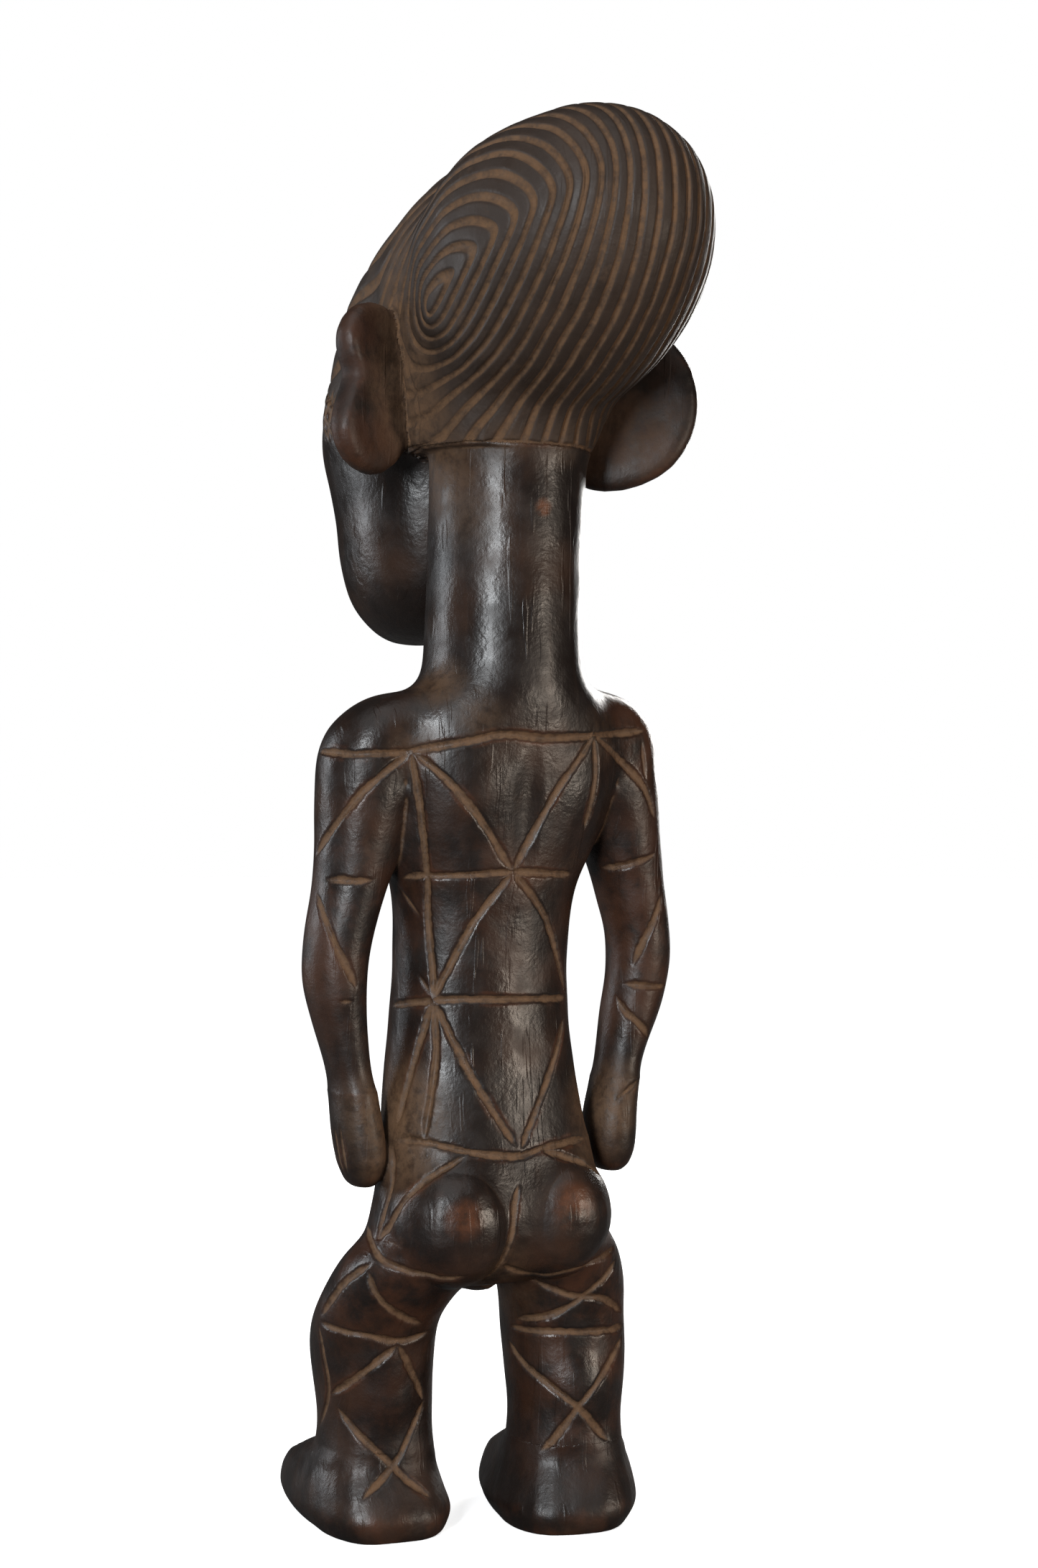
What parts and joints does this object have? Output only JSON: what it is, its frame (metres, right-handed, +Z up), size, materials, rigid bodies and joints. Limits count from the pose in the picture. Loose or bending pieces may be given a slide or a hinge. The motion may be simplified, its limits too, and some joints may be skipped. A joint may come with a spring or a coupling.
{
  "type": "carved standing figure",
  "caption": "Standing figure carved from one block of dark wood, with swept-back ridged hair, round ears, a long neck, arms at the sides and bent legs on flat feet.",
  "frame": {"origin": "middle of the footprint of the whole figure, on the surface it stands on", "axes": "+Z up, the figure faces -Y, its left hand is at +X"},
  "size_m": [0.1294, 0.178, 0.4352],
  "materials": {
    "dark_wood": "dark handled hardwood with a soft polish",
    "hair_wood": "the same hardwood, drier and browner where the hair is carved"
  },
  "bodies": {
    "root": {"hair": "hair_wood", "face": "dark_wood", "ear_left": "dark_wood", "ear_right": "dark_wood", "neck": "dark_wood", "torso": "dark_wood", "hips": "dark_wood", "upper_arm_left": "dark_wood", "upper_arm_right": "dark_wood", "forearm_left": "dark_wood", "forearm_right": "dark_wood", "hand_left": "dark_wood", "hand_right": "dark_wood", "thigh_left": "dark_wood", "thigh_right": "dark_wood", "calf_left": "dark_wood", "calf_right": "dark_wood", "foot_left": "dark_wood", "foot_right": "dark_wood"}
  },
  "joints": []
}
